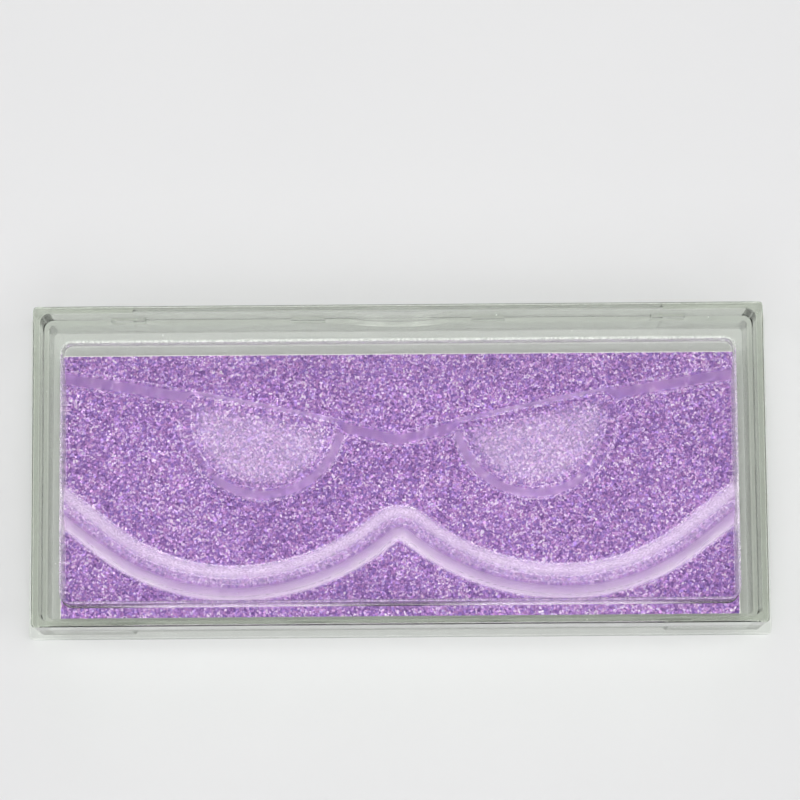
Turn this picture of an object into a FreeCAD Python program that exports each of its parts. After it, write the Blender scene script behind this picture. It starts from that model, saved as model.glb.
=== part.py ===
import FreeCAD, Part
import math
import os

from FreeCAD import Vector

os.makedirs("parts", exist_ok=True)

# False eyelash case: a clear base with an upstanding rim, a clear lid that slips over the rim and lifts off,
# a glitter card on the floor and a thermoformed lash tray on the card.
# Millimetres, +X along the case, +Y to the brow side, +Z up, origin under the middle of the base.

# Whole case
base_length = 112.0
base_width = 49.1
case_height = 16.0
end_ledge_width = 1.8  # flat lip of the base that shows past each end of the lid
side_ledge_width = 0.7  # the same along the lid's long sides
cut_overrun = 2.0  # how far every cutting solid runs past the face it cuts

# Base
floor_thickness = 1.5
base_corner_radius = 0.8
base_edge_round = 0.3
rim_height = 7.5  # above the floor
rim_wall = 0.75
rim_inner_radius = 0.6
rim_clearance = 0.1  # between the rim and the lid's walls
thumb_notch_width = 15.0
thumb_notch_depth = 3.5

# Lid
lid_wall = 0.95
lid_top_thickness = 1.2
lid_corner_radius = 0.6
lid_edge_round = 0.35
lid_seat_gap = 0.02  # between the lid's foot and the ledge
grip_end_margin = 14.7  # from each end of the lid to the finger recess along a long wall
grip_height = 6.5
grip_depth = 0.4
gate_width = 1.6  # stub left where the lid's moulding gate was broken off
gate_height = 0.9
gate_length = 0.45
gate_lift = 2.2
gate_tip_share = 0.7  # of the stub's root section

# Locating ribs inside the lid's long walls, each in a groove of the rim
rib_count = 4
rib_end_margin = 12.75  # from each end of the lid's cavity to the middle of the nearest rib
rib_width = 5.0
rib_depth = 0.3
rib_lift = 2.5  # from the floor to the foot of a rib
rib_rise = 1.0  # from the top of the rim to the top of a rib
rib_clearance = 0.1

# Glitter card
card_thickness = 0.4
card_end_gap = 1.15  # to the rim at each end
card_near_gap = 0.15  # to the rim on the ridge side, where the card has slid to
card_far_gap = 3.5  # to the rim on the brow side

# Lash tray, one formed sheet
sheet = 0.35
tray_end_gap = 1.2  # to the rim at each end
tray_near_gap = 1.9  # to the rim on the ridge side
tray_far_gap = 1.8  # to the rim on the brow side
tray_height = 6.3
tray_wall_run = 0.1  # how far the sloping wall leans out from foot to top
tray_corner_radius = 2.2  # at the top
tray_foot_radius_share = 0.9  # of the corner radius at the top

# Brow shelf: the raised part of the deck behind a shallow V. Here and below, Y is from the tray's middle.
brow_height = 2.7
brow_run = 1.6
brow_centre_y = 5.9  # top edge of the V at the middle
brow_end_y = 16.0  # top edge of the V at the tray's ends
brow_nose_radius = 4.0

# Eyelid seats: two half discs that stand out from under the brow shelf
seat_height = 2.2
seat_run = 1.5
seat_radius = 12.7  # at the foot
seat_spacing_share = 0.4  # of the tray's length
seat_centre_y = 8.7

# Lash-tip ridge: a wave with a bowl below each seat
ridge_height = 2.7
ridge_run = 1.75
ridge_top_width = 1.4
ridge_dip_spacing_share = 0.488  # of the tray's length
ridge_dip_y = -16.4
ridge_peak_rise = 9.0
ridge_nose_radius = 0.7  # of the near foot at the middle peak
ridge_bowl_share = 0.303  # radius of the outer half of each bowl, of the tray's length
ridge_end_angle = 38.0  # degrees, where each bowl runs out straight

# Levels and plan sizes that follow
rim_top = floor_thickness + rim_height
lid_length = base_length - 2 * end_ledge_width
lid_width = base_width - 2 * side_ledge_width
cavity_length = lid_length - 2 * lid_wall
cavity_width = lid_width - 2 * lid_wall
rim_outer_length = cavity_length - 2 * rim_clearance
rim_outer_width = cavity_width - 2 * rim_clearance
rim_outer_radius = rim_inner_radius + rim_wall
cavity_radius = rim_outer_radius + rim_clearance
rim_inner_length = rim_outer_length - 2 * rim_wall
rim_inner_width = rim_outer_width - 2 * rim_wall
lid_foot = floor_thickness + lid_seat_gap
lid_ceiling = case_height - lid_top_thickness
grip_length = lid_length - 2 * grip_end_margin
rib_pitch = (cavity_length - 2 * rib_end_margin) / (rib_count - 1)
tray_low = floor_thickness + card_thickness
tray_top = tray_low + tray_height
tray_length = rim_inner_length - 2 * tray_end_gap
tray_width = rim_inner_width - tray_near_gap - tray_far_gap
seat_spacing = seat_spacing_share * tray_length
ridge_dip_spacing = ridge_dip_spacing_share * tray_length
ridge_bowl_radius = ridge_bowl_share * tray_length
card_corner_radius = rim_inner_radius - card_near_gap
deck = tray_low + sheet


def rounded_rectangle(length, width, radius, z):
    """Closed wire of a rectangle with rounded corners, centred on the Z axis."""
    x = length / 2
    y = width / 2
    chord = radius * (1 - math.sqrt(0.5))
    corners = ((x, y), (-x, y), (-x, -y), (x, -y))
    edges = []
    last = None
    for cx, cy in corners:
        sx = math.copysign(1, cx)
        sy = math.copysign(1, cy)
        on_side = Vector(cx, cy - sy * radius, z)
        on_end = Vector(cx - sx * radius, cy, z)
        middle = Vector(cx - sx * chord, cy - sy * chord, z)
        start, end = (on_side, on_end) if sx == sy else (on_end, on_side)
        if last is not None:
            edges.append(Part.makeLine(last, start))
        else:
            first = start
        edges.append(Part.Arc(start, middle, end).toShape())
        last = end
    edges.append(Part.makeLine(last, first))
    return Part.Wire(edges)


def rounded_block(length, width, radius, low, high):
    """Upright block with rounded corners."""
    face = Part.Face(rounded_rectangle(length, width, radius, low))
    return face.extrude(Vector(0, 0, high - low))


def box_between(low, high):
    """Box from its lowest and highest corners."""
    size = high - low
    return Part.makeBox(size.x, size.y, size.z, low)


def edges_at(shape, z):
    """Edges that lie level at one height."""
    near = 1e-6 * case_height
    return [e for e in shape.Edges if abs(e.BoundBox.ZMin - z) < near and abs(e.BoundBox.ZMax - z) < near]


def rib_places():
    """X of the middle of each locating rib along a long wall."""
    first = -rib_pitch * (rib_count - 1) / 2
    return [first + rib_pitch * i for i in range(rib_count)]


def rim_grooves():
    """Grooves, open at the top of the rim, that the lid's ribs slide down."""
    outer = rim_outer_width / 2
    depth = rib_depth - rim_clearance + rib_clearance
    half = rib_width / 2 + rib_clearance
    low = floor_thickness + rib_lift - rib_clearance
    grooves = []
    for side in (-1, 1):
        y = sorted((side * (outer - depth), side * (outer + cut_overrun)))
        for x in rib_places():
            grooves.append(box_between(Vector(x - half, y[0], low), Vector(x + half, y[1], rim_top + cut_overrun)))
    return grooves


def thumb_notch():
    """Circle segment cut from the top edge of the far wall of the rim."""
    radius = (thumb_notch_width ** 2 / 4 + thumb_notch_depth ** 2) / (2 * thumb_notch_depth)
    start = rim_outer_width / 2 - rim_wall - cut_overrun
    centre = Vector(0, start, rim_top - thumb_notch_depth + radius)
    return Part.makeCylinder(radius, rim_wall + 2 * cut_overrun, centre, Vector(0, 1, 0))


def make_base():
    """Floor plate with its ledge, and the rim that stands on it."""
    plate = rounded_block(base_length, base_width, base_corner_radius, 0, floor_thickness)
    plate = plate.makeFillet(base_edge_round, edges_at(plate, 0) + edges_at(plate, floor_thickness))
    rim = rounded_block(rim_outer_length, rim_outer_width, rim_outer_radius, floor_thickness, rim_top)
    well = rounded_block(rim_inner_length, rim_inner_width, rim_inner_radius, floor_thickness, rim_top + cut_overrun)
    return plate.fuse(rim.cut(well)).cut([thumb_notch()] + rim_grooves()).removeSplitter()


def lid_ribs():
    """Locating ribs, rooted in the lid's long walls."""
    inner = cavity_width / 2
    low = floor_thickness + rib_lift
    ribs = []
    for side in (-1, 1):
        y = sorted((side * (inner - rib_depth), side * (inner + lid_wall / 2)))
        for x in rib_places():
            half = rib_width / 2
            ribs.append(box_between(Vector(x - half, y[0], low), Vector(x + half, y[1], rim_top + rib_rise)))
    return ribs


def grip_recess(side):
    """Shallow finger recess with sloping ends, low on one long wall of the lid."""
    half = grip_length / 2
    face = side * lid_width / 2
    inside = face - side * grip_depth
    outside = face + side * cut_overrun
    spread = grip_depth + cut_overrun
    low = floor_thickness - cut_overrun
    corners = [Vector(-half, inside, low), Vector(half, inside, low)]
    corners += [Vector(half + spread, outside, low), Vector(-half - spread, outside, low)]
    profile = Part.Face(Part.makePolygon(corners + corners[:1]))
    return profile.extrude(Vector(0, 0, cut_overrun + grip_height))


def gate_stub():
    """Broken-off gate on the right end wall, tapering to its tip."""
    root = lid_length / 2 - lid_wall / 2
    tip = lid_length / 2 + gate_length
    middle = floor_thickness + gate_lift
    sections = []
    for x, share in ((root, 1), (tip, gate_tip_share)):
        y = gate_width * share / 2
        z = gate_height * share / 2
        corners = [Vector(x, -y, middle - z), Vector(x, y, middle - z)]
        corners += [Vector(x, y, middle + z), Vector(x, -y, middle + z)]
        sections.append(Part.makePolygon(corners + corners[:1]))
    return Part.makeLoft(sections, True, True)


def make_lid():
    """Deep cover whose walls stand on the base's ledge, outside the rim."""
    block = rounded_block(lid_length, lid_width, lid_corner_radius, lid_foot, case_height)
    block = block.makeFillet(lid_edge_round, edges_at(block, case_height))
    inside = rounded_block(cavity_length, cavity_width, cavity_radius, floor_thickness - cut_overrun, lid_ceiling)
    shell = block.cut([inside, grip_recess(1), grip_recess(-1)])
    return shell.fuse(lid_ribs() + [gate_stub()]).removeSplitter()


def make_card():
    """Flat card on the floor of the base, a little short of the rim on the brow side."""
    length = rim_inner_length - 2 * card_end_gap
    width = rim_inner_width - card_near_gap - card_far_gap
    card = rounded_block(length, width, card_corner_radius, floor_thickness, tray_low)
    return card.translated(Vector(0, (card_near_gap - card_far_gap) / 2, 0))


def pan_section(z, inset):
    """Outline of the tray's sloping wall at one height, drawn in by an inset."""
    lean = 2 * tray_wall_run * (tray_top - z) / tray_height
    radius = tray_corner_radius * (1 - (1 - tray_foot_radius_share) * (tray_top - z) / tray_height)
    return rounded_rectangle(tray_length - lean - 2 * inset, tray_width - lean - 2 * inset, radius - inset, z)


def wall_thickness_across(run, height):
    """Sheet thickness measured level through a wall that leans by a run over its height."""
    return sheet * math.hypot(run, height) / height


def raised_form(outline, height, run):
    """Solid that stands on the deck, with sloping sides."""
    top = deck + height
    slope = run / height
    sections = [outline(slope * (top - z), z) for z in (tray_low, top)]
    return Part.makeLoft(sections, True, True)


def form_hollow(outline, height, run):
    """Hollow that the sheet of a raised form leaves underneath, and its way down through the deck."""
    top = deck + height
    slope = run / height
    across = wall_thickness_across(run, height)
    sections = [outline(slope * (top - z) - across, z) for z in (tray_low, top - sheet)]
    way_down = Part.Face(sections[0]).extrude(Vector(0, 0, -cut_overrun))
    return [Part.makeLoft(sections, True, True), way_down]


def brow_outline(offset, z):
    """Region behind the V, grown by an offset; its far side and ends lie outside the tray."""
    half = tray_length / 2 + cut_overrun
    far = tray_width / 2 + cut_overrun
    rise = brow_end_y - brow_centre_y
    reach = tray_length / 2
    radius = brow_nose_radius + offset
    # The nose arc is tangent to both straight arms of the V.
    angle = math.atan2(rise, reach)
    centre_y = brow_centre_y + brow_nose_radius
    join = Vector(radius * math.sin(angle), centre_y - radius * math.cos(angle), z)
    end = Vector(half, join.y + (half - join.x) * math.tan(angle), z)
    left_join = Vector(-join.x, join.y, z)
    left_end = Vector(-end.x, end.y, z)
    nose = Part.Arc(left_join, Vector(0, centre_y - radius, z), join).toShape()
    corners = [join, end, Vector(half, far, z), Vector(-half, far, z), left_end, left_join]
    lines = [Part.makeLine(a, b) for a, b in zip(corners[:-1], corners[1:])]
    return Part.Wire([nose] + lines)


def seat_outline(side):
    """Outline maker for one eyelid seat, a disc whose far half lies under the brow shelf."""
    def outline(offset, z):
        centre = Vector(side * seat_spacing / 2, seat_centre_y, z)
        return Part.Wire([Part.makeCircle(seat_radius - seat_run + offset, centre)])
    return outline


def ridge_side(shift, z):
    """Edges of the wave, shifted square to itself towards the brow, from left to right."""
    widest = ridge_top_width / 2 + ridge_run * (ridge_height + sheet) / ridge_height
    peak_radius = ridge_nose_radius + widest
    dip_x = ridge_dip_spacing / 2
    reach = (dip_x ** 2 + ridge_peak_rise ** 2) / (2 * ridge_peak_rise)
    inner_radius = reach - peak_radius
    peak_y = ridge_dip_y + ridge_peak_rise - peak_radius
    inner_y = ridge_dip_y + inner_radius
    turn = math.atan2(dip_x, inner_y - peak_y)
    outer_y = ridge_dip_y + ridge_bowl_radius
    end_turn = math.radians(ridge_end_angle)
    half = tray_length / 2 + cut_overrun

    def inner(share):
        r = inner_radius - shift
        return Vector(dip_x - r * math.sin(turn * share), inner_y - r * math.cos(turn * share), z)

    def outer(share):
        r = ridge_bowl_radius - shift
        return Vector(dip_x + r * math.sin(end_turn * share), outer_y - r * math.cos(end_turn * share), z)

    def mirrored(point):
        return Vector(-point.x, point.y, z)

    bowl_end = outer(1)
    run_out = Vector(half, bowl_end.y + (half - bowl_end.x) * math.tan(end_turn), z)
    right = [(inner(1), inner(0.5), inner(0)), (inner(0), outer(0.5), bowl_end)]
    peak = Vector(0, peak_y + peak_radius + shift, z)
    arcs = [tuple(mirrored(p) for p in reversed(arc)) for arc in reversed(right)]
    arcs += [(mirrored(inner(1)), peak, inner(1))] + right
    edges = [Part.makeLine(mirrored(run_out), mirrored(bowl_end))]
    edges += [Part.Arc(*arc).toShape() for arc in arcs]
    edges.append(Part.makeLine(bowl_end, run_out))
    return edges


def ridge_outline(offset, z):
    """Band of the wave, grown by an offset on both sides; its ends lie outside the tray."""
    half_width = ridge_top_width / 2 + offset
    far = ridge_side(half_width, z)
    near = ridge_side(-half_width, z)
    ends = [Part.makeLine(f.Vertexes[v].Point, n.Vertexes[v].Point) for f, n, v in
            ((far[0], near[0], 0), (far[-1], near[-1], 1))]
    return Part.Wire(Part.__sortEdges__(far + near + ends))


def make_tray():
    """Formed sheet: a shallow pan whose deck rises into the brow shelf, the eyelid seats and the ridge."""
    across = wall_thickness_across(tray_wall_run, tray_height)
    pan = Part.makeLoft([pan_section(z, 0) for z in (tray_low, tray_top)], True, True)
    above = tray_top + cut_overrun
    inside = Part.makeLoft([pan_section(z, across) for z in (deck, above)], True, True)
    forms = [(brow_outline, brow_height, brow_run), (ridge_outline, ridge_height, ridge_run)]
    forms += [(seat_outline(side), seat_height, seat_run) for side in (-1, 1)]
    raised = [raised_form(*form) for form in forms]
    hollows = [cut for form in forms for cut in form_hollow(*form)]
    bulk = raised[0].fuse(raised[1:]).common(pan)
    tray = pan.cut(inside).fuse(bulk).cut(hollows).removeSplitter()
    return tray.translated(Vector(0, (tray_near_gap - tray_far_gap) / 2, 0))


def main():
    pieces = {
        "case_base": make_base(),
        "case_lid": make_lid(),
        "glitter_card": make_card(),
        "lash_tray": make_tray(),
    }
    for name, shape in pieces.items():
        print(name, len(shape.Solids), "solids, valid", shape.isValid(), "volume %.1f" % shape.Volume)
        shape.exportStep("parts/%s.step" % name)


main()
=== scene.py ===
import math

import bmesh
import bpy
import numpy as np
from mathutils import Matrix, Vector


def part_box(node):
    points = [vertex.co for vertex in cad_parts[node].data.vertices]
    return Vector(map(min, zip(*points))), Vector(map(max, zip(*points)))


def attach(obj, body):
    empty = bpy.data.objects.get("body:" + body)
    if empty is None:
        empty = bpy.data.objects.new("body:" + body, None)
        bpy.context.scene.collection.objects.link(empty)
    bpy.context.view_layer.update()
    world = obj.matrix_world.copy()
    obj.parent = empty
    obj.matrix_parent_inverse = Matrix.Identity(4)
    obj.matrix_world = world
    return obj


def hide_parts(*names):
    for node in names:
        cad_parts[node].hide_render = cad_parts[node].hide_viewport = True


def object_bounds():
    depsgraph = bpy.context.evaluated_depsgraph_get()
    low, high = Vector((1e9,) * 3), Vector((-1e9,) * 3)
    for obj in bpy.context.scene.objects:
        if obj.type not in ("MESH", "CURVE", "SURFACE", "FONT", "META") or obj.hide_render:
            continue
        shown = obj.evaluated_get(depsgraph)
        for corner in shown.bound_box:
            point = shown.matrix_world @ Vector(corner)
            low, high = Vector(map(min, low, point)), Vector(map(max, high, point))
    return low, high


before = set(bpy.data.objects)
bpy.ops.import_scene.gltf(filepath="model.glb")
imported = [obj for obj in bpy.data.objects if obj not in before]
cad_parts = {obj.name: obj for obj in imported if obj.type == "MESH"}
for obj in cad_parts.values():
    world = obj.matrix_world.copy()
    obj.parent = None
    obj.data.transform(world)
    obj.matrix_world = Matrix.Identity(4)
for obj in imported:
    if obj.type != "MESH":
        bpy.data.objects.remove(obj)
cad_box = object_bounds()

MM = 0.001
NOISE_MEAN = 0.5  # of a noise, and of a cell's random colour

# Photograph's camera, found by fitting the case's corners
photo_side = 800  # pixels
focal_pixels = 3453.1
camera_place = Vector((0.096, -64.060, 521.515)) * MM
camera_pitch = 0.14433
camera_yaw = -0.00152
camera_roll = -0.00631
sensor_width = 36.0
nearest_seen = 0.01  # metres

# Studio, in metres and watts
floor_size = 3.0
floor_squares = 4  # along each side
floor_drop = 0.0002
softbox_size = 0.6
softboxes = {
    "far_softbox": ((0.0, 0.75, 0.65), 4.0),
    "near_softbox": ((0.0, -0.6, 0.9), 2.2),
    "left_softbox": ((-0.66, -0.15, 0.74), 2.7),
    "right_softbox": ((0.66, -0.15, 0.74), 2.7),
}
sky_greys = ((0.0, 0.02), (0.3, 0.06), (0.55, 0.5), (0.85, 0.4), (1.0, 0.15))  # from the horizon up
light_bounces = 16
clear_layers = 24  # that a ray may cross

# Pale floor
floor_dark = (0.72, 0.72, 0.725)
floor_light = (0.75, 0.75, 0.755)
floor_mottle_size = 60.0
floor_roughness = 0.6

# Clear plastic of the base and the lid, sizes in millimetres
plastic_index = 1.59
plastic_clean = (0.97, 0.975, 0.965)
plastic_smeared = (0.91, 0.92, 0.90)
plastic_shadow = (0.92, 0.93, 0.92)
plastic_depth = (0.66, 0.70, 0.61)
plastic_depth_density = 60.0
plastic_roughness = 0.015
plastic_relief = 0.02
smear_size = 18.0
smear_range = (0.52, 0.75)
smear_cover = 0.35
smear_roughness = 0.03
dust_spacing = 3.1
dust_radius = 0.035  # share of the spacing
dust_roughness = 0.5
flow_lengths = (30.0, 9.0, 9.0)
flow_relief = 0.6
scratch_directions = ((0.5, 0.5), (-0.9, 0.7))  # turn and spacing of each
scratch_length = 14  # spacings
scratch_range = (0.70, 0.76)
scratch_roughness = 0.12
scratch_relief = 0.05

# Finish of the tray's formed sheet
sheet_index = 1.5
sheet_clear = (0.985, 0.97, 0.99)
sheet_frosted = (0.95, 0.84, 0.99)
sheet_shadow = (0.96, 0.94, 0.97)
sheet_roughness = 0.03
sheet_relief = 0.02
frost_roughness = 0.38
# Painted sheen: a lavender veil standing in for the card's colour smeared through the tray's slopes, turning
# white up the walls where it stands in for the lamps' reflection
painted_sheen_deep = (0.90, 0.73, 0.98)
painted_sheen_light = (0.96, 0.84, 1.0)
painted_sheen_white = (0.93, 0.95, 0.92)
painted_sheen_roughness = 0.35
white_range = (5.0, 5.8)  # heights where the painted sheen turns white, away from the lavender of the card
grain_size = 0.3
grain_range = (0.3, 0.7)
grain_relief = 0.1
mottle_size = 3.0
mottle_relief = 0.6
mottle_least = 0.85
mottle_depth = 0.3
streak_lengths = (0.5, 6.0, 6.0)
streak_range = (0.25, 0.75)
pattern_least = 0.6
pattern_depth = 0.8
scuff_turn = 1.2
scuff_spacing = 0.45
scuff_haze = 0.03
scuff_roughness = 0.08

# Glitter card
card_gap = 0.02  # of air above and below the card
card_edge = 0.05
card_edge_segments = 2
flake_size = 0.31
fine_flake_size = flake_size * 0.62
coarse_share = 0.6
fine_share = 0.4
cloud_size = 14.0
cloud_depth = 0.25
flake_violets = (
    (0.00, (0.09, 0.030, 0.20)),
    (0.25, (0.20, 0.080, 0.34)),
    (0.50, (0.37, 0.175, 0.54)),
    (0.70, (0.56, 0.31, 0.72)),
    (0.80, (0.90, 0.68, 0.98)),
    (0.95, (1.0, 0.95, 1.0)),
)
rosy_flake = (0.72, 0.34, 0.68)
rosy_range = (0.72, 0.95)
blue_flake = (0.30, 0.20, 0.68)
blue_range = (0.25, 0.05)
odd_hue_share = 0.4
flake_lean = 0.7
flake_metal = 0.35
flake_polish = 0.27  # how much smoother than the bare card
glitter_side_range = (0.5, 0.9)  # of the normal's Z
fray_width = 0.16  # of bare card along the cut edges
fray_size = 0.8
paper_dark = (0.80, 0.77, 0.76)
paper_light = (0.92, 0.90, 0.89)
paper_roughness = 0.55
fibre_turn = 0.3
fibre_lengths = (2.5, 0.4, 0.4)

# Sheet of the lash tray, in millimetres; Y of its forms is from the tray's middle
sheet = 0.35
tray_low, tray_high = (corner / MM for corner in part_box("lash_tray"))
tray_length, tray_width, tray_height = tray_high - tray_low
tray_middle = (tray_low + tray_high) / 2
deck = tray_low.z + sheet
wall_run = 0.1
wall_lean = wall_run / tray_height
wall_fillet = 0.6
corner_radius = 1.6
round_share = 0.25  # of a slope's run, rounded at its top and its foot
form_fillet = 0.25  # where two forms meet

# Mesh of the tray
row_pitch = 0.27
column_pitch = 0.40
edge_lines = (0.0, 0.05, 0.13, 0.25, 0.4, 0.6, 0.85)  # beside the walls
wall_levels = 5
crowded_room = 6.0  # before the ridge, past which its rows crowd towards it
most_crowding = 2.2
walk_steps = 20  # towards the ridge's line
sharp_angle = math.radians(50)
smallest = 1e-9  # length to divide by

# Brow shelf
brow_height = 2.7
brow_middle_run = 1.7
brow_end_run = 1.9
brow_middle_y = 5.9
brow_end_y = 15.9
brow_nose = 0.17
brow_bow = 0.6
brow_tilt = (brow_end_y - brow_middle_y) / (tray_length / 2)

# Seats
seat_height = 2.2
seat_run = 1.5
seat_radius = 12.7
seat_x = 20.5
seat_y = 8.7

# Wavy ridge
ridge_height = 2.7
ridge_run = 1.75
ridge_top = 1.4
ridge_dip_x = 25.0
ridge_dip_y = -16.4
ridge_rise = 9.0
ridge_peak_radius = 3.4
ridge_outer_radius = 31.0
ridge_end_angle = math.radians(38)

# Painted sheen of the sheet, standing in for the lamps' reflections and the card's colour smeared through its
# forms, as the share of the card that it hides, and its frosting
near_wall_painted_sheen = 0.02  # at the top of the wall on the ridge side
far_wall_painted_sheen = 0.80  # at the top of the wall on the brow side
wall_painted_sheen_power = 0.6
wall_frost = 0.35
ridge_far_painted_sheen = 0.72
ridge_far_frost = 0.1
ridge_near_painted_sheen = 0.9
ridge_near_frost = 0.9
ridge_near_gain = 1.3
# Painted white highlight along the foot of the ridge's near side
ridge_foot_painted_highlight = 0.95
ridge_foot_frost = 0.8
foot_line_width = 0.35
foot_blur = 0.1
ridge_crest_painted_sheen = 0.20
crest_from = 0.85  # share of the ridge's height
brow_slope_painted_sheen = 0.02
seat_slope_painted_sheen = 0.10
seat_top_painted_sheen = 0.23
seat_top_fade = 2.2
seat_brow_fade = 4.0
seat_brow_least = 0.1
seat_flank_from = 6.0  # outward of the seat's middle
seat_flank_run = 4.0
seat_flank_loss = 0.75


class Socket:
    """A node's output in an expression. Arithmetic on it adds Math nodes."""

    def __init__(self, finish, output):
        self.finish = finish
        self.output = output

    def math(self, operation, first, second):
        return self.finish.node("ShaderNodeMath", {"operation": operation}, {0: first, 1: second})

    def __add__(self, other):
        return self.math("ADD", self, other)

    def __radd__(self, other):
        return self.math("ADD", other, self)

    def __sub__(self, other):
        return self.math("SUBTRACT", self, other)

    def __rsub__(self, other):
        return self.math("SUBTRACT", other, self)

    def __mul__(self, other):
        return self.math("MULTIPLY", self, other)

    def __rmul__(self, other):
        return self.math("MULTIPLY", other, self)

    def __lt__(self, other):
        return self.math("LESS_THAN", self, other)

    def __gt__(self, other):
        return self.math("GREATER_THAN", self, other)

    def lesser(self, other):
        return self.math("MINIMUM", self, other)

    def clamped(self):
        return self.finish.node("ShaderNodeClamp", {}, {"Value": self})

    def eased(self, low, high):
        """0 at low and 1 at high, eased at both ends."""
        settings = {"interpolation_type": "SMOOTHSTEP"}
        sockets = {"Value": self, "From Min": low, "From Max": high}
        return self.finish.node("ShaderNodeMapRange", settings, sockets)


class Finish:
    """Nodes of a material, or of the studio's world."""

    def __init__(self, owner):
        self.owner = owner
        owner.use_nodes = True
        self.tree = owner.node_tree
        self.tree.nodes.clear()

    def node(self, kind, settings, sockets, output=0):
        """Adds a node with its settings, then its sockets' values or links, and gives one of its outputs."""
        made = self.tree.nodes.new(kind)
        for name, value in settings.items():
            if name == "stops":
                self.set_stops(made.color_ramp, value)
            else:
                setattr(made, name, value)
        for key, value in sockets.items():
            target = self.named(made.inputs, key)
            if isinstance(value, Socket):
                self.tree.links.new(value.output, target)
            else:
                target.default_value = value
        return Socket(self, self.named(made.outputs, output)) if made.outputs else None

    def named(self, sockets, key):
        """Input or output with that number, identifier or name."""
        if isinstance(key, int):
            return sockets[key]
        found = [s for s in sockets if s.identifier == key] or [s for s in sockets if s.name == key]
        return found[0]

    def set_stops(self, ramp, stops):
        while len(ramp.elements) < len(stops):
            ramp.elements.new(1)
        for element, (place, colour) in zip(ramp.elements, stops):
            element.position = place
            element.color = (*colour, 1)

    def place(self):
        """Place on the object in millimetres."""
        metres = self.node("ShaderNodeTexCoord", {}, {}, "Object")
        return self.vector("SCALE", metres, Scale=1 / MM)

    def facing(self):
        """The surface's normal on the object."""
        return self.node("ShaderNodeTexCoord", {}, {}, "Normal")

    def mark(self, name):
        """Value that the mesh carries under that name."""
        return self.node("ShaderNodeAttribute", {"attribute_name": name}, {}, "Fac")

    def vector(self, operation, *values, **named):
        sockets = {**dict(enumerate(values)), **named}
        return self.node("ShaderNodeVectorMath", {"operation": operation}, sockets)

    def along(self, axis, vector):
        """A vector's part along X, Y or Z."""
        return self.node("ShaderNodeSeparateXYZ", {}, {0: vector}, axis)

    def channel(self, name, colour):
        """A colour's Red, Green or Blue."""
        return self.node("ShaderNodeSeparateColor", {}, {0: colour}, name)

    def stretched(self, place, turn, lengths):
        """Place turned about Z, then divided by lengths along each axis."""
        scale = [1 / length for length in lengths]
        sockets = {"Vector": place, "Rotation": (0, 0, turn), "Scale": scale}
        return self.node("ShaderNodeMapping", {"vector_type": "POINT"}, sockets)

    def noise(self, place, size=1.0, detail=2.0):
        sockets = {"Vector": place, "Scale": 1 / size, "Detail": detail}
        return self.node("ShaderNodeTexNoise", {}, sockets)

    def cells(self, place, size, output):
        """Colour of the cell around each seed, or Distance from the seed in cells."""
        sockets = {"Vector": place, "Scale": 1 / size}
        return self.node("ShaderNodeTexVoronoi", {"feature": "F1"}, sockets, output)

    def ramp(self, value, stops):
        return self.node("ShaderNodeValToRGB", {"stops": stops}, {"Fac": value}, "Color")

    def blend(self, share, first, second):
        """Mix of two colours."""
        sockets = {"Factor_Float": share}
        for key, colour in (("A_Color", first), ("B_Color", second)):
            sockets[key] = colour if isinstance(colour, Socket) else (*colour, 1)
        return self.node("ShaderNodeMix", {"data_type": "RGBA"}, sockets, "Result_Color")

    def turned(self, share, first, second):
        """Mix of two normals."""
        sockets = {"Factor_Float": share, "A_Vector": first, "B_Vector": second}
        return self.node("ShaderNodeMix", {"data_type": "VECTOR"}, sockets, "Result_Vector")

    def bump(self, height, depth):
        """Normal of a relief whose full height is a depth in millimetres."""
        return self.node("ShaderNodeBump", {}, {"Height": height, "Strength": 1.0, "Distance": depth * MM})

    def surface(self, **sockets):
        """Principled shader. An underscore in a socket's name stands for a space."""
        named = {key.replace("_", " "): value for key, value in sockets.items()}
        return self.node("ShaderNodeBsdfPrincipled", {}, named)

    def either(self, share, first, second):
        """Mix of two shaders."""
        return self.node("ShaderNodeMixShader", {}, {0: share, 1: first, 2: second})

    def lit_through(self, shader, tint):
        """Lets the lamps reach what is behind a clear surface."""
        lamp_ray = self.node("ShaderNodeLightPath", {}, {}, "Is Shadow Ray")
        through = self.node("ShaderNodeBsdfTransparent", {}, {"Color": (*tint, 1)})
        return self.either(lamp_ray, shader, through)

    def finished(self, **shaders):
        """The material, made of a Surface shader and, for a thick clear piece, a Volume shader."""
        self.node("ShaderNodeOutputMaterial", {}, shaders)
        return self.owner


def new_finish(name):
    return Finish(bpy.data.materials.new(name))


def hairlines(f, place, turn, spacing):
    """Mask of sparse fine scratches in one direction."""
    drawn_out = f.stretched(place, turn, (spacing * scratch_length, spacing, spacing))
    return f.noise(drawn_out, detail=3.0).eased(*scratch_range)


def clear_styrene():
    """Clear moulded plastic of the base and the lid, with handling marks."""
    f = new_finish("clear_styrene")
    place = f.place()
    first, second = (hairlines(f, place, turn, spacing) for turn, spacing in scratch_directions)
    scratches = (first + second).clamped()
    smears = f.noise(place, smear_size, detail=3.0).eased(*smear_range)
    dust = f.cells(place, dust_spacing, "Distance") < dust_radius
    roughness = plastic_roughness + smear_roughness * smears
    roughness = roughness + scratch_roughness * scratches + dust_roughness * dust
    colour = f.blend((smear_cover * smears + dust).clamped(), plastic_clean, plastic_smeared)
    flow = f.noise(f.stretched(place, 0.0, flow_lengths), detail=1.0)
    normal = f.bump(flow * flow_relief - scratches * scratch_relief, plastic_relief)
    clear = f.surface(Base_Color=colour, Roughness=roughness, Normal=normal,
                      IOR=plastic_index, Transmission_Weight=1.0)
    depth_sockets = {"Color": (*plastic_depth, 1), "Density": plastic_depth_density}
    depth = f.node("ShaderNodeVolumeAbsorption", {}, depth_sockets)
    return f.finished(Surface=f.lit_through(clear, plastic_shadow), Volume=depth)


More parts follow.
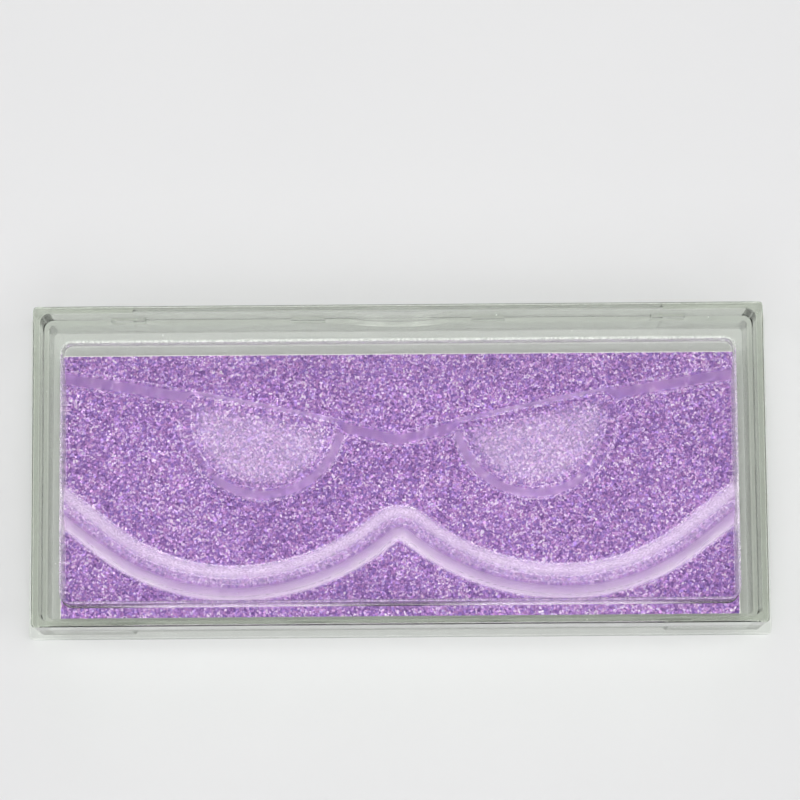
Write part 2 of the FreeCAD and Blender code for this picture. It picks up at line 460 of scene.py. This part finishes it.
def formed_sheet():
    """Thin clear sheet of the tray, frosted on its forms, with a painted sheen: a lavender and white veil
    standing in for the lamps' reflections and the card's colour seen through the forms.
    """
    f = new_finish("formed_sheet")
    place = f.place()
    haze = f.mark("haze")
    frost = f.mark("frost")
    grain = f.noise(place, grain_size, detail=1.0).eased(*grain_range)
    mottle = f.noise(place, mottle_size)
    streaks = f.noise(f.stretched(place, 0.0, streak_lengths)).eased(*streak_range)
    scuffs = hairlines(f, place, scuff_turn, scuff_spacing)
    # Share of the painted sheen, grainy or streaked and mottled, with real scuffs added
    pattern = pattern_least + pattern_depth * (grain * (1.0 - frost) + streaks * frost)
    share = haze * pattern * (mottle_least + mottle_depth * mottle)
    share = (share + scuff_haze * scuffs).clamped()
    normal = f.bump(mottle_relief * mottle + grain_relief * grain, sheet_relief)
    roughness = sheet_roughness + frost_roughness * frost + scuff_roughness * scuffs
    wall = f.along("Z", place).eased(*white_range)
    tint = f.blend(frost * (1.0 - wall), sheet_clear, sheet_frosted)
    clear = f.surface(Base_Color=tint, Roughness=roughness, Normal=normal,
                      IOR=sheet_index, Transmission_Weight=1.0)
    # Painted sheen: a diffuse lavender veil, white up the walls, mixed over the clear sheet in place of the
    # lamps' reflections and the card's smeared colour
    lavender = f.blend(mottle, painted_sheen_deep, painted_sheen_light)
    pale = f.blend(wall, lavender, painted_sheen_white)
    painted_sheen_shader = f.surface(Base_Color=pale, Roughness=painted_sheen_roughness, Normal=normal)
    return f.finished(Surface=f.lit_through(f.either(share, clear, painted_sheen_shader), sheet_shadow))


def frayed_edge(f, place):
    """1 on the strip along the card's cut edges where the glitter has rubbed off."""
    low, high = (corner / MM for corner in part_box("glitter_card"))
    middle = (low + high) / 2
    from_middle = f.vector("ABSOLUTE", f.vector("SUBTRACT", place, tuple(middle)))
    inside = f.vector("SUBTRACT", tuple(high - middle), from_middle)
    ragged = fray_width * (NOISE_MEAN + f.noise(place, fray_size))
    return f.along("X", inside).lesser(f.along("Y", inside)) < ragged


def flake_colour(f, place, coarse):
    """Violets of coarse and fine flakes, some of them rosy or bluish."""
    fine = f.cells(place, fine_flake_size, "Color")
    cloud = f.noise(place, cloud_size, detail=3.0)
    flakes = coarse_share * f.channel("Red", coarse) + fine_share * f.channel("Green", fine)
    violet = f.ramp((flakes + cloud_depth * (cloud - NOISE_MEAN)).clamped(), flake_violets)
    hue = f.channel("Blue", coarse)
    rosy = f.blend(odd_hue_share * hue.eased(*rosy_range), violet, rosy_flake)
    return f.blend(odd_hue_share * hue.eased(*blue_range), rosy, blue_flake)


def glitter():
    """Flakes of lavender glitter on white card; its edges and back are bare card."""
    f = new_finish("glitter_on_card")
    place = f.place()
    facing = f.facing()
    coarse = f.cells(place, flake_size, "Color")
    top = f.along("Z", facing).eased(*glitter_side_range) * (1.0 - frayed_edge(f, place))
    fibres = f.noise(f.stretched(place, fibre_turn, fibre_lengths), detail=3.0)
    paper = f.blend(fibres, paper_dark, paper_light)
    colour = f.blend(top, paper, flake_colour(f, place, coarse))
    tilt = f.vector("SUBTRACT", coarse, (NOISE_MEAN, NOISE_MEAN, NOISE_MEAN))
    lean = f.vector("MULTIPLY", tilt, (flake_lean, flake_lean, 0.0))
    leaning = f.vector("NORMALIZE", f.vector("ADD", facing, lean))
    normal = f.turned(top, facing, leaning)
    roughness = paper_roughness - flake_polish * top
    flake = f.surface(Base_Color=colour, Roughness=roughness, Metallic=flake_metal * top, Normal=normal)
    return f.finished(Surface=flake)


def pale_floor():
    f = new_finish("pale_floor")
    mottle = f.noise(f.place(), floor_mottle_size, detail=3.0)
    colour = f.blend(mottle, floor_dark, floor_light)
    return f.finished(Surface=f.surface(Base_Color=colour, Roughness=floor_roughness))


def dress(obj, material):
    obj.data.materials.clear()
    obj.data.materials.append(material)


def add_object(name, data):
    obj = bpy.data.objects.new(name, data)
    bpy.context.scene.collection.objects.link(obj)
    return obj


def new_mesh(name, work):
    """Mesh of a finished bmesh."""
    mesh = bpy.data.meshes.new(name)
    work.to_mesh(mesh)
    work.free()
    return mesh


def eased_drop(distance, run):
    """Height left, as a share, going down a slope of that run with rounded top and foot."""
    along = distance / run
    w = round_share
    crown = (np.clip(along, -w, w) + w) ** 2 / (4 * w)
    straight = np.clip(along, w, 1 - w) - w
    foot = w - (1 + w - np.clip(along, 1 - w, 1 + w)) ** 2 / (4 * w)
    return 1 - np.clip(crown + straight + foot, 0, 1)


def brow_edge(x):
    """Y of the top edge of the V."""
    along = np.abs(x) / (tray_length / 2)
    vee = brow_middle_y + np.sqrt((brow_tilt * x) ** 2 + brow_nose ** 2) - brow_nose
    return vee + 4 * brow_bow * along * np.clip(1 - along, 0, 1)


def brow_form(x, y):
    run = brow_middle_run + (brow_end_run - brow_middle_run) * np.abs(x) / (tray_length / 2)
    return brow_height * eased_drop((brow_edge(x) - y) * math.cos(math.atan(brow_tilt)), run)


def inside_seat(x, y):
    """Distance inward from the edge of a seat's top."""
    return seat_radius - seat_run - np.hypot(np.abs(x) - seat_x, y - seat_y)


def seat_form(x, y):
    return seat_height * eased_drop(-inside_seat(x, y), seat_run)


def ridge_distance(x, y):
    """Signed distance from the line of the wave, positive on the brow side.

    Each half of the wave is an arc over the peak, an arc into the dip, an arc out of it and a straight end.
    Each of these rules a fan of the plan, cut by the rays through its ends.
    """
    x = np.abs(x)
    inner_radius = (ridge_dip_x ** 2 + ridge_rise ** 2) / (2 * ridge_rise) - ridge_peak_radius
    inner_y = ridge_dip_y + inner_radius
    outer_y = ridge_dip_y + ridge_outer_radius
    peak_y = ridge_dip_y + ridge_rise - ridge_peak_radius
    join_angle = math.atan2(ridge_dip_x, inner_y - peak_y)
    end_cos = math.cos(ridge_end_angle)
    end_sin = math.sin(ridge_end_angle)
    past_dip = x - ridge_dip_x
    peak = np.hypot(x, y - peak_y) - ridge_peak_radius
    inner = inner_radius - np.hypot(past_dip, y - inner_y)
    outer = ridge_outer_radius - np.hypot(past_dip, y - outer_y)
    straight = ridge_outer_radius + (y - outer_y) * end_cos - past_dip * end_sin
    distance = np.where(past_dip > 0, outer, inner)
    distance = np.where(past_dip * end_cos + (y - outer_y) * end_sin > 0, straight, distance)
    return np.where(x * math.cos(join_angle) < (y - peak_y) * math.sin(join_angle), peak, distance)


def ridge_side(x, y):
    """Distance outward from the edge of the ridge's flat top."""
    return np.abs(ridge_distance(x, y)) - ridge_top / 2


def ridge_form(x, y):
    return ridge_height * eased_drop(ridge_side(x, y), ridge_run)


def joined(first, second):
    """The higher of two forms, with a small fillet where they meet."""
    return (first + second + np.sqrt((first - second) ** 2 + form_fillet ** 2) - form_fillet) / 2


def deck_height(x, y, to_wall):
    """Height of the sheet's upper face at that distance from the wall."""
    forms = joined(joined(brow_form(x, y), seat_form(x, y)), ridge_form(x, y))
    near = np.clip(wall_fillet - to_wall, 0, None)
    return deck + forms + wall_fillet - np.sqrt(wall_fillet ** 2 - near ** 2)


def halfway(share):
    """1 half way up a slope and 0 at its top and its foot."""
    return 4 * share * (1 - share)


def ridge_marks(x, y):
    """Painted sheen and frosting of the ridge: the painted sheen stands in for the lamps' reflection on its
    grainy far side, and its near side is smooth with a painted white highlight along its foot.
    """
    height = ridge_form(x, y) / ridge_height
    side = ridge_side(x, y)
    slope = halfway(height)
    # Line of painted white highlight along the near foot of the ridge
    foot_line = np.exp(-((side - ridge_run + foot_blur) / foot_line_width) ** 2)
    above_foot = np.clip((ridge_run + foot_blur - side) / (2 * foot_blur), 0, 1)
    near_slope = np.clip(ridge_near_gain * (1 - height), 0, 1) * above_foot
    near_painted_sheen = np.maximum(ridge_near_painted_sheen * near_slope, ridge_foot_painted_highlight * foot_line)
    near_frost = np.maximum(ridge_near_frost * slope, ridge_foot_frost * foot_line)
    near_side = ridge_distance(x, y) < 0
    crest = np.clip((height - crest_from) / (1 - crest_from), 0, 1)
    haze = np.where(near_side, near_painted_sheen, ridge_far_painted_sheen * np.sqrt(slope))
    frost = np.where(near_side, near_frost, ridge_far_frost * slope)
    return np.maximum(haze, ridge_crest_painted_sheen * crest), frost


def seat_marks(x, y):
    """Painted sheen and frosting of the seats; the painted sheen on their tops stands in for the lamps'
    reflection, and both fade where the brow covers them and on their outer flanks.
    """
    off_brow = np.clip(1 - 2 * brow_form(x, y) / brow_height, 0, 1)
    flank = np.clip((np.abs(x) - seat_x - seat_flank_from) / seat_flank_run, 0, 1)
    slope = halfway(seat_form(x, y) / seat_height) * off_brow * (1 - seat_flank_loss * flank)
    below_brow = np.clip((brow_edge(x) - y) / seat_brow_fade, seat_brow_least, 1)
    top = np.clip(inside_seat(x, y) / seat_top_fade, 0, 1) * below_brow * off_brow
    return np.maximum(seat_slope_painted_sheen * slope, seat_top_painted_sheen * top), slope


def brow_marks(x, y):
    """Painted sheen and frosting of the brow's slope, where it stands above a seat or the deck."""
    seat = seat_form(x, y)
    slope = halfway(np.clip((brow_form(x, y) - seat) / (brow_height - seat), 0, 1))
    return brow_slope_painted_sheen * slope, slope


def deck_marks(x, y):
    """Painted sheen on each face and frosting of the deck's forms."""
    forms = (ridge_marks(x, y), seat_marks(x, y), brow_marks(x, y))
    haze, frost = (np.maximum.reduce(shares) for shares in zip(*forms))
    return np.stack([on_each_face(haze), frost], axis=-1)


def wall_marks(facing_far, rise):
    """Painted sheen and frosting of the walls; the painted reflection is strongest on the brow side's wall
    and towards the top, and facing_far runs from -1 on the ridge side to 1 on the brow side.
    """
    top_painted_sheen = near_wall_painted_sheen + (far_wall_painted_sheen - near_wall_painted_sheen) * (1 + facing_far) / 2
    haze = on_each_face(top_painted_sheen * rise ** wall_painted_sheen_power)
    return np.stack([haze, np.full_like(facing_far, wall_frost)], axis=-1)


def on_each_face(haze):
    """Light crosses both faces of the sheet, so each carries part of the painted sheen."""
    return 1 - np.sqrt(1 - haze)


def grid_lines(half, pitch):
    """Lines across the tray's deck, close together beside the walls."""
    beside = half - np.array(edge_lines)
    inner = beside[-1]
    count = int(2 * inner / pitch)
    between = np.linspace(-inner, inner, count + 1)[1:-1]
    return np.concatenate([-beside, between, beside[::-1]])


def ridge_line(x):
    """Y of the line of the wave, found by walking towards it."""
    y = np.full_like(x, ridge_dip_y)
    for step in range(walk_steps):
        y = y - ridge_distance(x, y)
    return y


def along_ridge(x, y, half_width):
    """Bends the rows of the deck's grid to run along the ridge, all but those beside the walls."""
    inner = half_width - edge_lines[-1]
    line = ridge_line(x)
    middle = ridge_dip_y + ridge_rise / 2
    room = line + inner
    crowding = np.clip(room / crowded_room, 1, most_crowding)
    below = line - room * np.clip((middle - y) / (middle + inner), 0, 1) ** crowding
    above = line + (inner - line) * (y - middle) / (inner - middle)
    bent = np.where(y < middle, below, above)
    return np.where(np.abs(y) > inner, y, bent)


def rounded_corners(x, y, half_length, half_width):
    """Moves the points in each square corner of a grid into a quarter disc."""
    centre_x = half_length - corner_radius
    centre_y = half_width - corner_radius
    u = np.clip(np.abs(x) - centre_x, 0, None)
    v = np.clip(np.abs(y) - centre_y, 0, None)
    in_corner = (u > 0) & (v > 0)
    shrink = np.maximum(u, v) / np.maximum(np.hypot(u, v), smallest)
    moved_x = np.where(in_corner, np.sign(x) * (centre_x + u * shrink), x)
    moved_y = np.where(in_corner, np.sign(y) * (centre_y + v * shrink), y)
    return moved_x, moved_y


def deck_grid():
    """Points of the sheet's upper face between the walls, in rows."""
    inset = wall_lean * (tray_high.z - deck) + sheet * math.hypot(1, wall_lean)
    half_length = tray_length / 2 - inset
    half_width = tray_width / 2 - inset
    x, y = np.meshgrid(grid_lines(half_length, column_pitch), grid_lines(half_width, row_pitch))
    y = along_ridge(x, y, half_width)
    to_wall = np.minimum(half_length - np.abs(x), half_width - np.abs(y))
    x, y = rounded_corners(x, y, half_length, half_width)
    return np.stack([x, y, deck_height(x, y, to_wall)], axis=-1)


def grid_quads(number):
    """Faces of a grid of vertex numbers."""
    corners = [number[:-1, :-1], number[:-1, 1:], number[1:, 1:], number[1:, :-1]]
    return np.stack(corners, axis=-1).reshape(-1, 4)


def border(number):
    """Closed loop of the vertex numbers round a grid."""
    return np.concatenate([number[0, :-1], number[:-1, -1], number[-1, :0:-1], number[:0:-1, 0]])


def quads_between(lower, upper):
    """Faces between two closed loops of vertex numbers."""
    return np.stack([lower, np.roll(lower, -1), np.roll(upper, -1), upper], axis=1)


def outward_of(loop):
    """Directions in plan that point out of a closed loop of points."""
    ahead = np.roll(loop, -1, axis=0) - np.roll(loop, 1, axis=0)
    outward = np.stack([ahead[:, 1], -ahead[:, 0]], axis=1)
    return outward / np.linalg.norm(outward, axis=1)[:, None]


def wall_ring(foot, outward, rise):
    """Points of the walls at a share of their height above the foot."""
    ring = foot.copy()
    ring[:, 2] += (tray_high.z - foot[:, 2]) * rise
    ring[:, :2] += outward * wall_lean * (ring[:, 2:] - foot[:, 2:])
    return ring


def upper_face():
    """Points, faces, marks and rim of the sheet's upper face: the deck, then rings up the walls."""
    grid = deck_grid()
    number = np.arange(grid[..., 0].size).reshape(grid.shape[:2])
    points = [grid.reshape(-1, 3)]
    faces = [grid_quads(number)]
    marks = [deck_marks(grid[..., 0], grid[..., 1]).reshape(-1, 2)]
    below = border(number)
    foot = points[0][below]
    outward = outward_of(foot)
    for level in range(wall_levels):
        rise = (level + 1) / wall_levels
        points.append(wall_ring(foot, outward, rise))
        marks.append(wall_marks(outward[:, 1], rise))
        above = number.size + level * len(foot) + np.arange(len(foot))
        faces.append(quads_between(below, above))
        below = above
    return np.concatenate(points), np.concatenate(faces), np.concatenate(marks), below


def point_normals(points, faces):
    """Normal at each point, from the four-sided faces round it."""
    a, b, c, d = (points[faces[:, i]] for i in range(4))
    across = np.cross(c - a, d - b)
    normals = np.zeros_like(points)
    for i in range(4):
        np.add.at(normals, faces[:, i], across)
    return normals / np.linalg.norm(normals, axis=1)[:, None]


def tray_mesh():
    """Formed sheet of the tray as a closed mesh, which carries its painted sheen and frosting."""
    upper, upper_faces, marks, upper_rim = upper_face()
    lower = upper - sheet * point_normals(upper, upper_faces)
    lower[:, 2] = np.clip(lower[:, 2], tray_low.z, tray_high.z)
    lower_faces = upper_faces[:, ::-1] + len(upper)
    rim = quads_between(upper_rim, upper_rim + len(upper))
    points = np.concatenate([upper, lower]) + np.array([tray_middle.x, tray_middle.y, 0])
    faces = np.concatenate([upper_faces, lower_faces, rim])
    mesh = bpy.data.meshes.new("formed_lash_tray")
    mesh.from_pydata((points * MM).tolist(), [], faces.tolist())
    for name, values in zip(("haze", "frost"), np.tile(marks, (2, 1)).T):
        attribute = mesh.attributes.new(name, "FLOAT", "POINT")
        attribute.data.foreach_set("value", values.astype(np.float32))
    mesh.polygons.foreach_set("use_smooth", np.ones(len(mesh.polygons), dtype=bool))
    sharpen(mesh)
    return mesh


def sharpen(mesh):
    """Marks the edges whose faces meet at more than the sharp angle."""
    work = bmesh.new()
    work.from_mesh(mesh)
    for edge in work.edges:
        edge.smooth = edge.calc_face_angle(0) < sharp_angle
    work.to_mesh(mesh)
    work.free()


def make_tray():
    tray = add_object("formed_lash_tray", tray_mesh())
    dress(tray, formed_sheet())
    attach(tray, "base")
    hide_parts("lash_tray")


def make_card():
    """Card with softened cut edges, clear of the base's floor and the tray by a little air."""
    low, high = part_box("glitter_card")
    gap = Vector((0, 0, card_gap * MM))
    low, high = low + gap, high - gap
    work = bmesh.new()
    bmesh.ops.create_cube(work, size=1)
    bmesh.ops.scale(work, vec=high - low, verts=work.verts)
    bmesh.ops.translate(work, vec=(low + high) / 2, verts=work.verts)
    bmesh.ops.bevel(work, geom=work.edges, offset=card_edge * MM, segments=card_edge_segments, affect="EDGES")
    card = add_object("glitter_sheet", new_mesh("glitter_sheet", work))
    dress(card, glitter())
    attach(card, "base")
    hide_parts("glitter_card")


def make_shells():
    clear = clear_styrene()
    for node in ("case_base", "case_lid"):
        dress(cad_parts[node], clear)


def make_floor():
    work = bmesh.new()
    bmesh.ops.create_grid(work, x_segments=floor_squares, y_segments=floor_squares, size=floor_size / 2)
    floor = add_object("floor", new_mesh("floor", work))
    floor.location.z = cad_box[0].z - floor_drop
    dress(floor, pale_floor())


def softbox(name, place, watts):
    """Square lamp that faces the case."""
    lamp = bpy.data.lights.new(name, "AREA")
    lamp.shape = "SQUARE"
    lamp.size = softbox_size
    lamp.energy = watts
    obj = add_object(name, lamp)
    obj.location = place
    obj.rotation_euler = (-Vector(place)).to_track_quat("-Z", "Y").to_euler()


def studio_world():
    """Grey sky, dark at the horizon and brightest half way up."""
    world = Finish(bpy.data.worlds.new("studio"))
    direction = world.node("ShaderNodeTexCoord", {}, {}, "Generated")
    greys = [(height, (grey, grey, grey)) for height, grey in sky_greys]
    sky = world.ramp(world.along("Z", direction), greys)
    background = world.node("ShaderNodeBackground", {}, {"Color": sky})
    world.node("ShaderNodeOutputWorld", {}, {"Surface": background})
    return world.owner


def make_light():
    for name, (place, watts) in softboxes.items():
        softbox(name, place, watts)
    bpy.context.scene.world = studio_world()


def make_camera():
    camera = bpy.data.cameras.new("photo_camera")
    camera.sensor_width = sensor_width
    camera.lens = sensor_width * focal_pixels / photo_side
    camera.clip_start = nearest_seen
    obj = add_object("photo_camera", camera)
    yaw = Matrix.Rotation(camera_yaw, 4, "Z")
    pitch = Matrix.Rotation(camera_pitch, 4, "X")
    roll = Matrix.Rotation(camera_roll, 4, "Z")
    obj.matrix_world = Matrix.Translation(camera_place) @ yaw @ pitch @ roll
    bpy.context.scene.camera = obj


def main():
    scene = bpy.context.scene
    scene.view_settings.view_transform = "Standard"
    scene.cycles.max_bounces = light_bounces
    scene.cycles.transmission_bounces = light_bounces
    scene.cycles.transparent_max_bounces = clear_layers
    make_camera()
    make_shells()
    make_card()
    make_tray()
    make_floor()
    make_light()


main()
